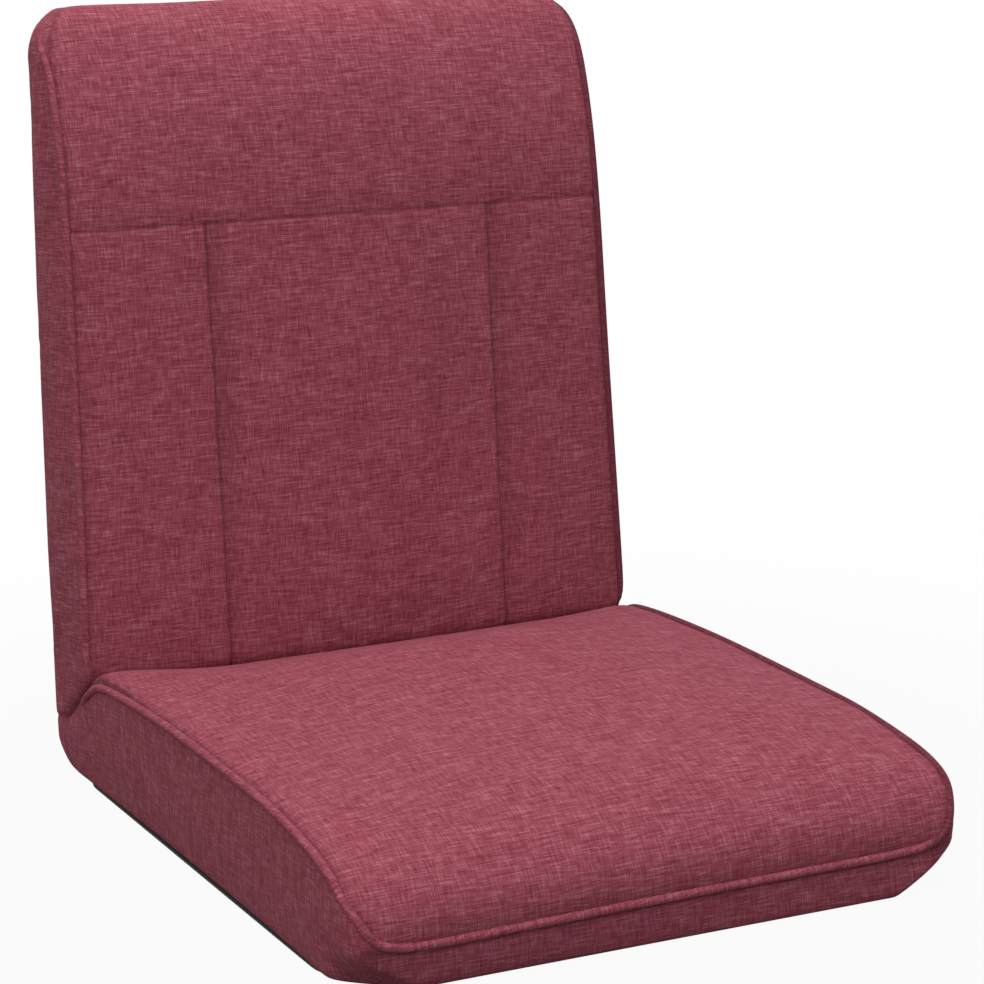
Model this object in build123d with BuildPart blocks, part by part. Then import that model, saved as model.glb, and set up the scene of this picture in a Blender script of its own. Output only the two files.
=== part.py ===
"""Folding floor chair: padded seat and back on bent tube frames, joined by two ratchet hinges.

Millimetres and degrees.  The chair faces -Y, +Z is up and the origin is on the floor under the
middle of the seat.  The back is drawn in its own planes: n points out of its front, u runs up it.
"""

import os
from math import acos, cos, degrees, radians, sin, sqrt, tan

from build123d import *

# Seat cushion
seat_width = 446.0
seat_depth = 525.0
seat_height = 91.0
seat_crown = 8.0
seat_draw = 4.0
seat_corner = 12.0
nose_radius = 36.0
nose_slope = 16.0
nose_height = 42.0
base_radius = 30.0
rear_flat = 36.0
rear_radius = 33.0
front_welt_height = 25.0

# Back cushion, measured from the hinge axis
back_length = 520.0
back_front = 55.0
back_crown = 11.0
back_low_width = 444.0
back_top_width = 430.0
back_draw = 3.0
back_corner = 40.0
head_slope = 30.0
head_radius = 14.0
head_top = 10.0
head_flat = 4.0
head_rear_radius = 20.0
rear_bow = 8.0
rear_crown = 3.0
head_seam = 355.0
channel_pitch = 235.0
seam_width = 5.0
seam_depth = 4.0

# Hinge line between the two cushions
recline = 6.0
hinge_inset = 25.0
hinge_height = 44.0
knuckle_radius = 25.0
knuckle_gap = 1.4
crease_angle = 36.7
crease_gap = 0.6
seat_relief = 22.0
back_relief = 31.0

# Cloth on its wadding, welt and clearances
cloth = 4.8
soft_gap = 0.3
welt_radius = 3.5
welt_sink = 1.0
welt_corner = 15.0

# Tube frames
tube_radius = 9.5
tube_wall = 1.5
tube_bend = 60.0
frame_half_width = 190.0
seat_front_bar = 48.0
seat_cross_place = 20.0
cross_radius = 8.0
back_top_bar = 62.0
back_low_cross = 150.0
back_high_cross = 310.0
back_tube_start = 33.0

# Ratchet hinges
cheek_plate = 2.0
cheek_radius = 21.0
cheek_reach = 84.0
cheek_half = 11.0
arm_plate = 4.0
arm_half = 6.5
arm_reach = 72.0
ratchet_radius = 18.0
tooth_depth = 4.5
tooth_half = 2.4
click = 14.0
clicks_back = 6
clicks_forward = 3
pin_radius = 4.0
pin_clearance = 0.05
pin_head = 7.0
pin_head_height = 2.0
bush_radius = 9.0
side_gap = 0.25
pawl_angle = 15.0
pawl_out = 20.0
pawl_down = 20.0
pawl_hub = 5.5
pawl_tip = 3.0
pawl_play = 1.1
pawl_release = 14.0
pawl_pin_radius = 2.5
rivet_radius = 2.5
rivet_head = 4.5
rivet_head_height = 2.0
seat_rivet_first = 52.0
back_rivet_first = 44.0
rivet_pitch = 18.0
seat_tube_end = 38.0
pocket_radius = 34.0
pocket_half = 14.5
pocket_room = 1.5
cheek_swing = 18.0
cheek_swing_reach = 50.0

hinge_y = seat_depth / 2 - hinge_inset
seat_front = -seat_depth / 2
groove_radius = knuckle_radius + knuckle_gap
tilt = radians(recline)
back_crease = 90 + recline - crease_angle
far = seat_depth + back_length
welt_room = welt_sink + welt_radius + 2 * soft_gap

axis_point = Vector(0, hinge_y, hinge_height)
back_normal = Vector(0, -cos(tilt), sin(tilt))
back_up = Vector(0, sin(tilt), cos(tilt))
seat_side = Plane(origin=axis_point, x_dir=(0, 1, 0), z_dir=(1, 0, 0))
back_side = Plane(origin=axis_point, x_dir=back_normal, z_dir=(-1, 0, 0))
back_face = Plane(origin=axis_point, x_dir=(1, 0, 0), z_dir=back_normal)

os.makedirs("parts", exist_ok=True)


def seat_ray(angle, reach):
    """Point in the seat's side view, turned up from straight ahead of the hinge axis."""
    return (-reach * cos(radians(angle)), reach * sin(radians(angle)))


def back_ray(angle, reach):
    """Point in the back's side view, turned forward from straight up the back."""
    return (reach * sin(radians(angle)), reach * cos(radians(angle)))


def arc_point(center, radius, angle):
    return (center[0] + radius * cos(radians(angle)), center[1] + radius * sin(radians(angle)))


def crease_points(direction, normal, radius, offset, run):
    """Ends of a crease face: on the round about the hinge axis, and at a run along the crease."""
    along = sqrt(radius**2 - offset**2)
    inner = (along * direction[0] + offset * normal[0], along * direction[1] + offset * normal[1])
    outer = (run * direction[0] + offset * normal[0], run * direction[1] + offset * normal[1])
    return inner, outer


def seat_outline(inset, rise):
    """Side view of the seat about the hinge axis: nose at the left, knuckle groove at the right."""
    floor = inset - hinge_height
    top = seat_height + rise - inset - hinge_height
    front = seat_front - hinge_y
    nose = (front + nose_radius, nose_height - hinge_height)
    slope = radians(nose_slope)
    sweep_radius = (seat_height + rise - nose_height - nose_radius * cos(slope)) / (1 - cos(slope))
    brow = (nose[0] + (sweep_radius - nose_radius) * sin(slope), top + inset - sweep_radius)
    toe = (front + base_radius, base_radius - hinge_height)
    heel = (hinge_inset - rear_flat, rear_radius - hinge_height)
    ledge = -groove_radius - inset
    heel_turn = degrees(acos((heel[1] - ledge) / (rear_radius - inset)))
    turn = radians(crease_angle)
    offset = crease_gap / 2 + inset
    run = (top + offset * cos(turn)) / sin(turn)
    groove_end, crease_top = crease_points(
        (-cos(turn), sin(turn)), (-sin(turn), -cos(turn)), groove_radius + inset, offset, run
    )
    heel_end = arc_point(heel, rear_radius - inset, heel_turn - 90)
    brow_end = arc_point(nose, nose_radius - inset, 90 + nose_slope)
    with BuildSketch() as face:
        with BuildLine():
            Line((toe[0], floor), (heel[0], floor))
            ThreePointArc(
                (heel[0], floor), arc_point(heel, rear_radius - inset, heel_turn / 2 - 90), heel_end
            )
            Line(heel_end, (0, ledge))
            ThreePointArc(
                (0, ledge), seat_ray((crease_angle - 90) / 2, groove_radius + inset), groove_end
            )
            Line(groove_end, crease_top)
            Line(crease_top, (brow[0], top))
            ThreePointArc(
                (brow[0], top), arc_point(brow, sweep_radius - inset, 90 + nose_slope / 2), brow_end
            )
            ThreePointArc(
                brow_end,
                arc_point(nose, nose_radius - inset, 135 + nose_slope / 2),
                (front + inset, nose[1]),
            )
            Line((front + inset, nose[1]), (front + inset, toe[1]))
            ThreePointArc(
                (front + inset, toe[1]), arc_point(toe, base_radius - inset, 225), (toe[0], floor)
            )
        make_face()
    return face.sketch


def seat_plan(inset):
    """Seat from above: the sides draw in between their ends, the front corners are rounded."""
    half = seat_width / 2 - inset
    ahead = seat_front - 2 * cloth
    behind = seat_depth / 2 + base_radius
    start = ahead + seat_corner
    middle = (start + behind) / 2
    turn = seat_corner - inset
    with BuildSketch() as face:
        with BuildLine():
            ThreePointArc((half, behind), (half - seat_draw, middle), (half, start))
            ThreePointArc(
                (half, start),
                arc_point((half - turn, start), turn, -45),
                (half - turn, start - turn),
            )
            Line((half - turn, start - turn), (turn - half, start - turn))
            ThreePointArc(
                (turn - half, start - turn),
                arc_point((turn - half, start), turn, 225),
                (-half, start),
            )
            ThreePointArc((-half, start), (seat_draw - half, middle), (-half, behind))
            Line((-half, behind), (half, behind))
        make_face()
    return face.sketch


def seat_form(inset):
    """Seat cushion with its crown, drawn in by inset all over."""
    half = seat_width / 2 + base_radius
    with BuildPart() as form:
        for x, rise in ((-half, 0), (0, seat_crown), (half, 0)):
            with BuildSketch(seat_side.offset(x)):
                add(seat_outline(inset, rise))
        loft()
        with BuildSketch(Plane.XY):
            add(seat_plan(inset))
        extrude(amount=far, mode=Mode.INTERSECT)
    return form.part


def back_outline(inset, rise, bow):
    """Side view of the back about the hinge axis: n to the right, u upwards."""
    front = back_front + rise - inset
    slope = radians(head_slope)
    crown_center = (head_top, back_length - head_radius)
    sweep_radius = (back_front + rise - head_top - head_radius * cos(slope)) / (1 - cos(slope))
    brow = (
        back_front + rise - sweep_radius,
        crown_center[1] - (sweep_radius - head_radius) * sin(slope),
    )
    brow_end = arc_point(crown_center, head_radius - inset, head_slope)
    nape = (head_top - head_flat, back_length - head_rear_radius)
    rear_top = (nape[0] - head_rear_radius + inset, nape[1])
    rear_low = (inset - knuckle_radius, 0)
    rear_mid = ((rear_top[0] + rear_low[0]) / 2 - bow, nape[1] / 2)
    turn = radians(back_crease)
    offset = crease_gap / 2 + inset
    run = (front + offset * cos(turn)) / sin(turn)
    knuckle_end, crease_top = crease_points(
        (sin(turn), cos(turn)), (-cos(turn), sin(turn)), knuckle_radius - inset, offset, run
    )
    round_radius = knuckle_radius - inset
    with BuildSketch() as face:
        with BuildLine():
            Line(crease_top, (front, brow[1]))
            ThreePointArc(
                (front, brow[1]), arc_point(brow, sweep_radius - inset, head_slope / 2), brow_end
            )
            ThreePointArc(
                brow_end,
                arc_point(crown_center, head_radius - inset, 45 + head_slope / 2),
                (head_top, back_length - inset),
            )
            Line((head_top, back_length - inset), (nape[0], back_length - inset))
            ThreePointArc(
                (nape[0], back_length - inset),
                arc_point(nape, head_rear_radius - inset, 135),
                rear_top,
            )
            ThreePointArc(rear_top, rear_mid, rear_low)
            ThreePointArc(rear_low, arc_point((0, 0), round_radius, 225), (0, -round_radius))
            ThreePointArc(
                (0, -round_radius), arc_point((0, 0), round_radius, -back_crease / 2), knuckle_end
            )
            Line(knuckle_end, crease_top)
        make_face()
    return face.sketch


def back_plan(inset):
    """Back from the front: sides taper and draw in between their ends, top corners are rounded."""
    low = back_low_width / 2 - inset
    high = back_top_width / 2 - inset
    foot = -2 * knuckle_radius
    shoulder = back_length + 2 * cloth - back_corner
    turn = back_corner - inset
    waist = ((low + high) / 2 - back_draw, (foot + shoulder) / 2)
    with BuildSketch() as face:
        with BuildLine():
            Line((-low, foot), (low, foot))
            ThreePointArc((low, foot), waist, (high, shoulder))
            ThreePointArc(
                (high, shoulder),
                arc_point((high - turn, shoulder), turn, 45),
                (high - turn, shoulder + turn),
            )
            Line((high - turn, shoulder + turn), (turn - high, shoulder + turn))
            ThreePointArc(
                (turn - high, shoulder + turn),
                arc_point((turn - high, shoulder), turn, 135),
                (-high, shoulder),
            )
            ThreePointArc((-high, shoulder), (-waist[0], waist[1]), (-low, foot))
        make_face()
    return face.sketch


def seam_grooves(inset):
    """Sewn grooves of the back's front: two upright channels below a seam across the head."""
    half = back_low_width / 2 + base_radius
    wide = seam_width / 2 + inset
    share = (channel_pitch / 2 / half) ** 2
    channel_floor = back_front + back_crown * (1 - share) - seam_depth - inset
    seam_floor = back_front - seam_depth - inset
    with BuildPart() as grooves:
        with BuildSketch(back_face.offset(channel_floor)):
            with Locations((-channel_pitch / 2, head_seam / 2), (channel_pitch / 2, head_seam / 2)):
                Rectangle(2 * wide, head_seam)
        extrude(amount=far)
        with BuildSketch(Plane(axis_point + back_up * (head_seam - wide), (1, 0, 0), back_up)):
            with BuildLine():
                ThreePointArc(
                    (-half, -seam_floor), (0, -seam_floor - back_crown), (half, -seam_floor)
                )
                Polyline((half, -seam_floor), (half, -far), (-half, -far), (-half, -seam_floor))
            make_face()
        extrude(amount=2 * wide)
    return grooves.part


def back_form(inset):
    """Back cushion with its crown and sewn grooves, drawn in by inset all over."""
    half = back_low_width / 2 + base_radius
    with BuildPart() as form:
        for x, rise, bow in (
            (-half, 0, rear_bow),
            (0, back_crown, rear_bow + rear_crown),
            (half, 0, rear_bow),
        ):
            with BuildSketch(back_side.offset(x)):
                add(back_outline(inset, rise, bow))
        loft()
        with BuildSketch(back_face):
            add(back_plan(inset))
        extrude(amount=far, both=True, mode=Mode.INTERSECT)
        add(seam_grooves(inset), mode=Mode.SUBTRACT)
    return form.part


def prism(side, *points):
    """Full-width bar with a side view given by its corners."""
    with BuildPart() as bar:
        with BuildSketch(side):
            with BuildLine():
                Polyline(*points, close=True)
            make_face()
        extrude(amount=far, both=True)
    return bar.part


def hinge_pockets():
    """Room in the padding for both hinges: about the axis and along the plates and tubes."""
    reach = cheek_reach + pocket_room
    deep = cheek_radius + pocket_room
    arm = arm_reach + pocket_room
    narrow = rivet_head + pocket_room
    with BuildPart() as pockets:
        for x in (-frame_half_width, frame_half_width):
            with BuildSketch(seat_side.offset(x)):
                Circle(pocket_radius)
                with Locations((-reach / 2, 0)):
                    Rectangle(reach, 2 * deep)
            extrude(amount=pocket_half, both=True)
            with BuildSketch(back_side.offset(-x)):
                with Locations((0, arm / 2)):
                    Rectangle(2 * narrow, arm)
                Polygon(
                    (0, 0),
                    back_ray(back_relief, cheek_swing_reach),
                    back_ray(cheek_swing, cheek_swing_reach),
                    align=None,
                )
            extrude(amount=pocket_half, both=True)
    return pockets.part


def swept_round(path, radius, bore=0.0):
    """Round bar or tube along a path of runs and arcs."""
    with BuildPart() as bar:
        with BuildLine():
            add(path)
        with BuildSketch(Plane(origin=path @ 0, z_dir=path % 0)):
            Circle(radius)
            if bore:
                Circle(bore, mode=Mode.SUBTRACT)
        sweep()
    return bar.part


def seat_u_path():
    with BuildLine() as path:
        FilletPolyline(
            (-frame_half_width, hinge_y - seat_tube_end, hinge_height),
            (-frame_half_width, seat_front + seat_front_bar, hinge_height),
            (frame_half_width, seat_front + seat_front_bar, hinge_height),
            (frame_half_width, hinge_y - seat_tube_end, hinge_height),
            radius=tube_bend,
        )
    return path.line


def back_u_path():
    top = back_length - back_top_bar
    with BuildLine(back_face) as path:
        FilletPolyline(
            (-frame_half_width, back_tube_start),
            (-frame_half_width, top),
            (frame_half_width, top),
            (frame_half_width, back_tube_start),
            radius=tube_bend,
        )
    return path.line


def seat_welt_path():
    """Along one side of the seat, down the nose, across the front and back up the other side."""
    slope = radians(nose_slope)
    sweep_radius = (seat_height - nose_height - nose_radius * cos(slope)) / (1 - cos(slope))
    nose_y = seat_front + nose_radius
    brow_y = nose_y + (sweep_radius - nose_radius) * sin(slope)
    half = seat_width / 2 - welt_sink
    top = seat_height - welt_sink
    front = seat_front + welt_sink
    crest = seat_height + welt_radius - hinge_height
    rear = hinge_y - crest / tan(radians(seat_relief)) - 3 * soft_gap
    turn_y = brow_y - sweep_radius * tan(slope / 2)
    nose_z = nose_height + (nose_radius - welt_sink) * tan((radians(90) - slope) / 2)
    drawn = half - seat_draw
    side = [
        (half - seat_draw * 0.7, rear, top),
        (drawn, (rear + turn_y) / 2, top),
        (half - seat_draw * 0.3, turn_y, top),
        (half, front, nose_z),
        (half, front, front_welt_height),
    ]
    points = [(-x, y, z) for x, y, z in side] + list(reversed(side))
    bends = [seat_depth, sweep_radius - nose_radius, nose_radius - welt_sink, welt_corner]
    with BuildLine() as path:
        FilletPolyline(*points, radius=bends + bends[::-1])
    return path.line


def back_welt_path():
    """Up one side of the back, round the head and down the other side."""
    slope = radians(head_slope)
    sweep_radius = (back_front - head_top - head_radius * cos(slope)) / (1 - cos(slope))
    brow_u = back_length - head_radius - (sweep_radius - head_radius) * sin(slope)
    low = back_low_width / 2 - welt_sink
    high = back_top_width / 2 - welt_sink
    front = back_front - welt_sink
    start = (back_front + welt_radius) / tan(radians(back_relief)) + 3 * soft_gap
    turn_u = brow_u + sweep_radius * tan(slope / 4)
    side = [
        (low + (high - low) * start / back_length - back_draw * 0.6, start, front),
        ((low + high) / 2 - back_draw, (start + turn_u) / 2, front),
        (high, turn_u, front),
        (high, back_length - welt_sink, head_top + head_flat),
    ]
    points = [(-x, u, n) for x, u, n in side] + list(reversed(side))
    bends = [back_length, sweep_radius - welt_sink, back_corner - welt_sink]
    with BuildLine(back_face) as path:
        FilletPolyline(*points, radius=bends + bends[::-1])
    return path.line


# Shared bodies that the pieces are cut from
seat_outer = seat_form(0)
seat_inner = seat_form(cloth)
seat_core = seat_form(cloth + soft_gap)
back_outer = back_form(0)
back_inner = back_form(cloth)
back_core = back_form(cloth + soft_gap)
pockets = hinge_pockets()
back_welt_room = swept_round(back_welt_path(), welt_radius + soft_gap)
seat_tube_room = swept_round(seat_u_path(), tube_radius + soft_gap)
back_tube_room = swept_round(back_u_path(), tube_radius + soft_gap)
seat_wedge = prism(
    seat_side, (0, 0), seat_ray(seat_relief, far), seat_ray(60, far), seat_ray(90, far)
)


def back_wedge(start, knuckle):
    """The soft part of the crease that moves with the back, outside the knuckle."""
    with BuildPart() as wedge:
        add(prism(back_side, (0, 0), back_ray(start, far), back_ray(60, far), back_ray(90, far)))
        with BuildSketch(back_side):
            Circle(knuckle)
        extrude(amount=far, both=True, mode=Mode.SUBTRACT)
    return wedge.part


back_relief_wedge = back_wedge(back_relief, knuckle_radius)

# Seat padding, in two layers about the tube frame
with BuildPart() as seat_top_foam:
    add(seat_core)
    split(bisect_by=Plane.XY.offset(hinge_height + soft_gap / 2), keep=Keep.TOP)
    for room in (seat_wedge, pockets, seat_tube_room):
        add(room, mode=Mode.SUBTRACT)
    with BuildSketch(Plane.YZ):
        with Locations((seat_cross_place, hinge_height)):
            Circle(cross_radius + soft_gap)
    extrude(amount=frame_half_width, both=True, mode=Mode.SUBTRACT)

with BuildPart() as seat_base_foam:
    add(seat_core)
    split(bisect_by=Plane.XY.offset(hinge_height - soft_gap / 2), keep=Keep.BOTTOM)
    for room in (seat_wedge, pockets, seat_tube_room):
        add(room, mode=Mode.SUBTRACT)
    with BuildSketch(Plane.YZ):
        with Locations((seat_cross_place, hinge_height)):
            Circle(cross_radius + soft_gap)
    extrude(amount=frame_half_width, both=True, mode=Mode.SUBTRACT)

# Soft rolls that fill the crease and are squeezed when the back folds forward
with BuildPart() as seat_crease_roll:
    add(seat_outer)
    add(
        prism(
            seat_side,
            seat_ray(seat_relief + 0.5, groove_radius / 2),
            seat_ray(seat_relief + 0.1, far),
            seat_ray(60, far),
            seat_ray(90, far),
            seat_ray(90, groove_radius / 2),
        ),
        mode=Mode.INTERSECT,
    )
    add(pockets, mode=Mode.SUBTRACT)

# Seat cover
seat_toe = seat_front + base_radius - hinge_y
seat_heel = hinge_inset - rear_flat
seat_welt_high = front_welt_height + welt_radius + soft_gap - hinge_height
seat_welt_low = front_welt_height - welt_radius - soft_gap - hinge_height

with BuildPart() as seat_top_panel:
    add(seat_outer)
    add(seat_inner, mode=Mode.SUBTRACT)
    with BuildSketch(Plane.XY):
        add(seat_plan(welt_room))
    extrude(amount=far, mode=Mode.INTERSECT)
    add(
        prism(
            seat_side,
            (seat_front - hinge_y - base_radius, seat_welt_high),
            (seat_toe + base_radius, seat_welt_high),
            seat_ray(seat_relief - 0.5, 2 * groove_radius),
            seat_ray(seat_relief - 0.1, seat_depth),
            (seat_front - hinge_y - base_radius, far),
        ),
        mode=Mode.INTERSECT,
    )
    with BuildSketch(Plane.XZ):
        for x in (-seat_width / 2, seat_width / 2):
            with Locations((x, front_welt_height)):
                Rectangle(2 * welt_corner, 2 * welt_corner, rotation=45)
    extrude(amount=far, mode=Mode.SUBTRACT)

with BuildPart() as seat_border:
    add(seat_outer)
    add(seat_inner, mode=Mode.SUBTRACT)
    with BuildPart(mode=Mode.PRIVATE) as seat_between:
        with BuildSketch(Plane.XY):
            add(seat_plan(cloth))
        extrude(amount=far)
        add(
            prism(
                seat_side,
                (seat_front - hinge_y - base_radius, seat_welt_low),
                (seat_toe, seat_welt_low),
                (seat_toe, -far),
                (far, -far),
                (far, far),
                (seat_front - hinge_y - base_radius, far),
            ),
            mode=Mode.INTERSECT,
        )
    add(seat_between.part, mode=Mode.SUBTRACT)
    add(seat_wedge, mode=Mode.SUBTRACT)
    with BuildSketch(seat_side):
        with BuildLine():
            Polyline(
                (seat_front - hinge_y - base_radius, seat_welt_low),
                (-2 * groove_radius, seat_welt_low),
                (-2 * groove_radius, far),
                (seat_front - hinge_y - base_radius, far),
                close=True,
            )
        make_face()
        add(seat_outline(welt_room, 0), mode=Mode.SUBTRACT)
    extrude(amount=far, both=True, mode=Mode.SUBTRACT)

with BuildPart() as seat_base_panel:
    with BuildSketch(Plane.XY):
        add(seat_plan(cloth + soft_gap))
        with Locations((0, hinge_y + (seat_toe + soft_gap + seat_heel) / 2)):
            Rectangle(2 * seat_width, seat_heel - seat_toe - soft_gap, mode=Mode.INTERSECT)
    extrude(amount=cloth)

with BuildPart() as seat_rear_panel:
    add(seat_outer)
    add(seat_inner, mode=Mode.SUBTRACT)
    with BuildSketch(Plane.XY):
        add(seat_plan(cloth + soft_gap))
    extrude(amount=far, mode=Mode.INTERSECT)
    add(
        prism(
            seat_side,
            (seat_heel + soft_gap, -far),
            (far, -far),
            (far, 0),
            (0, 0),
            seat_ray(seat_relief - 0.5, 2 * groove_radius),
            (-2 * groove_radius, 2 * cloth - hinge_height),
            (seat_heel + soft_gap, 2 * cloth - hinge_height),
        ),
        mode=Mode.INTERSECT,
    )
    add(pockets, mode=Mode.SUBTRACT)

with BuildPart() as seat_piping:
    add(swept_round(seat_welt_path(), welt_radius))

# Seat frame: bent tube with a welded cross tube
with BuildPart() as seat_tube:
    add(swept_round(seat_u_path(), tube_radius, tube_radius - tube_wall))
    with BuildSketch(seat_side):
        for i in range(2):
            with Locations((-seat_rivet_first - i * rivet_pitch, 0)):
                Circle(rivet_radius + pin_clearance)
    extrude(amount=frame_half_width + 2 * tube_radius, both=True, mode=Mode.SUBTRACT)

with BuildPart() as seat_cross_tube:
    with BuildSketch(Plane.YZ):
        with Locations((seat_cross_place, hinge_height)):
            Circle(cross_radius)
            Circle(cross_radius - tube_wall, mode=Mode.SUBTRACT)
    extrude(amount=frame_half_width, both=True)
    add(swept_round(seat_u_path(), tube_radius + pin_clearance), mode=Mode.SUBTRACT)

# Back padding, before and behind the tube frame
back_rooms = (back_relief_wedge, pockets, back_tube_room)

with BuildPart() as back_front_foam:
    add(back_core)
    split(bisect_by=back_face.offset(soft_gap / 2), keep=Keep.TOP)
    for room in back_rooms + (back_welt_room,):
        add(room, mode=Mode.SUBTRACT)
    with BuildSketch(back_side):
        with Locations((0, back_low_cross), (0, back_high_cross)):
            Circle(cross_radius + soft_gap)
    extrude(amount=frame_half_width, both=True, mode=Mode.SUBTRACT)

with BuildPart() as back_rear_foam:
    add(back_core)
    split(bisect_by=back_face.offset(-soft_gap / 2), keep=Keep.BOTTOM)
    for room in back_rooms:
        add(room, mode=Mode.SUBTRACT)
    with BuildSketch(back_side):
        with Locations((0, back_low_cross), (0, back_high_cross)):
            Circle(cross_radius + soft_gap)
    extrude(amount=frame_half_width, both=True, mode=Mode.SUBTRACT)

with BuildPart() as back_crease_roll:
    add(back_outer)
    add(back_wedge(back_relief + 0.2, knuckle_radius + soft_gap), mode=Mode.INTERSECT)
    add(pockets, mode=Mode.SUBTRACT)

# Back cover: one front cover, cut into its four panels along the seams
head_edge = head_top + head_flat
hem = 2 * knuckle_radius

with BuildPart() as back_cover:
    add(back_outer)
    add(back_inner, mode=Mode.SUBTRACT)
    with BuildSketch(back_face):
        add(back_plan(welt_room))
    extrude(amount=far, both=True, mode=Mode.INTERSECT)
    add(
        prism(
            back_side,
            (head_edge, far),
            (head_edge, hem),
            back_ray(back_relief - 0.5, hem),
            back_ray(back_relief - 0.1, far),
        ),
        mode=Mode.INTERSECT,
    )


def front_panel(left, right, low, high):
    """Part of the back's front cover between four seam lines."""
    with BuildPart() as panel:
        add(back_cover.part)
        with BuildSketch(back_face):
            with BuildLine():
                Polyline((left, low), (right, low), (right, high), (left, high), close=True)
            make_face()
        extrude(amount=far, both=True, mode=Mode.INTERSECT)
    return panel


stitch = soft_gap / 2
channel = channel_pitch / 2
back_head_cover = front_panel(-back_low_width, back_low_width, head_seam + stitch, far)
back_left_panel = front_panel(-back_low_width, -channel - stitch, 0, head_seam - stitch)
back_centre_panel = front_panel(stitch - channel, channel - stitch, 0, head_seam - stitch)
back_right_panel = front_panel(channel + stitch, back_low_width, 0, head_seam - stitch)

with BuildPart() as back_head_trimmed:
    add(back_head_cover.part)
    add(back_welt_room, mode=Mode.SUBTRACT)

with BuildPart() as back_head_panel:
    add(back_head_trimmed.solids().sort_by(SortBy.VOLUME)[-1])

with BuildPart() as back_bands:
    add(back_outer)
    add(back_inner, mode=Mode.SUBTRACT)
    with BuildSketch(back_face):
        add(back_plan(cloth))
    extrude(amount=far, both=True, mode=Mode.SUBTRACT)
    for room in (back_relief_wedge, back_welt_room):
        add(room, mode=Mode.SUBTRACT)

with BuildPart() as back_border:
    for band in back_bands.solids().sort_by(SortBy.VOLUME)[-2:]:
        add(band)

with BuildPart() as back_rear_panel:
    add(back_outer)
    add(back_inner, mode=Mode.SUBTRACT)
    with BuildSketch(back_face):
        add(back_plan(cloth + soft_gap))
    extrude(amount=far, both=True, mode=Mode.INTERSECT)
    add(
        prism(
            back_side,
            (head_edge - welt_room, far),
            (head_edge - welt_room, hem),
            (far, hem),
            (far, -far),
            (-far, -far),
            (-far, far),
        ),
        mode=Mode.INTERSECT,
    )
    for room in (back_relief_wedge, pockets):
        add(room, mode=Mode.SUBTRACT)

with BuildPart() as back_piping:
    add(swept_round(back_welt_path(), welt_radius))

# Back frame
with BuildPart() as back_tube:
    add(swept_round(back_u_path(), tube_radius, tube_radius - tube_wall))
    with BuildSketch(back_side):
        for i in range(2):
            with Locations((0, back_rivet_first + i * rivet_pitch)):
                Circle(rivet_radius + pin_clearance)
    extrude(amount=frame_half_width + 2 * tube_radius, both=True, mode=Mode.SUBTRACT)

with BuildPart() as back_low_cross_tube:
    with BuildSketch(back_side):
        with Locations((0, back_low_cross)):
            Circle(cross_radius)
            Circle(cross_radius - tube_wall, mode=Mode.SUBTRACT)
    extrude(amount=frame_half_width, both=True)
    add(swept_round(back_u_path(), tube_radius + pin_clearance), mode=Mode.SUBTRACT)

with BuildPart() as back_high_cross_tube:
    with BuildSketch(back_side):
        with Locations((0, back_high_cross)):
            Circle(cross_radius)
            Circle(cross_radius - tube_wall, mode=Mode.SUBTRACT)
    extrude(amount=frame_half_width, both=True)
    add(swept_round(back_u_path(), tube_radius + pin_clearance), mode=Mode.SUBTRACT)

pieces = {
    "seat_top_foam": seat_top_foam,
    "seat_base_foam": seat_base_foam,
    "seat_crease_roll": seat_crease_roll,
    "seat_top_panel": seat_top_panel,
    "seat_border": seat_border,
    "seat_base_panel": seat_base_panel,
    "seat_rear_panel": seat_rear_panel,
    "seat_piping": seat_piping,
    "seat_tube": seat_tube,
    "seat_cross_tube": seat_cross_tube,
    "back_front_foam": back_front_foam,
    "back_rear_foam": back_rear_foam,
    "back_crease_roll": back_crease_roll,
    "back_head_panel": back_head_panel,
    "back_left_panel": back_left_panel,
    "back_centre_panel": back_centre_panel,
    "back_right_panel": back_right_panel,
    "back_border": back_border,
    "back_rear_panel": back_rear_panel,
    "back_piping": back_piping,
    "back_tube": back_tube,
    "back_low_cross_tube": back_low_cross_tube,
    "back_high_cross_tube": back_high_cross_tube,
}

# Ratchet hinges, drawn in the middle plane of each side tube
turn_out = (-cos(radians(pawl_angle)), sin(radians(pawl_angle)))
turn_down = (-sin(radians(pawl_angle)), -cos(radians(pawl_angle)))


def from_axis(out, down):
    """Point beside the ratchet: out along the pawl's line to the axis, and down across it."""
    return (
        out * turn_out[0] + down * turn_down[0],
        out * turn_out[1] + down * turn_down[1],
    )


pawl_pivot = from_axis(pawl_out, pawl_down)
tip_out = ratchet_radius + pawl_tip + pawl_play / 2
seat_rivets = [(-seat_rivet_first - i * rivet_pitch, 0) for i in range(2)]
back_rivets = [(0, back_rivet_first + i * rivet_pitch) for i in range(2)]
clicks = clicks_back + clicks_forward + 1


def cheek(x, thickness):
    """Plate beside the seat tube that carries the pivot, the pawl and two rivets."""
    with BuildPart() as plate:
        with BuildSketch(seat_side.offset(x)):
            Circle(cheek_radius)
            with Locations((cheek_half - cheek_reach, 0)):
                Circle(cheek_half)
            with Locations(pawl_pivot):
                Circle(pawl_hub + cheek_plate)
            make_hull()
            Circle(pin_radius + pin_clearance, mode=Mode.SUBTRACT)
            with Locations(pawl_pivot, *seat_rivets):
                Circle(rivet_radius + pin_clearance, mode=Mode.SUBTRACT)
        extrude(amount=thickness)
    return plate


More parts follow.
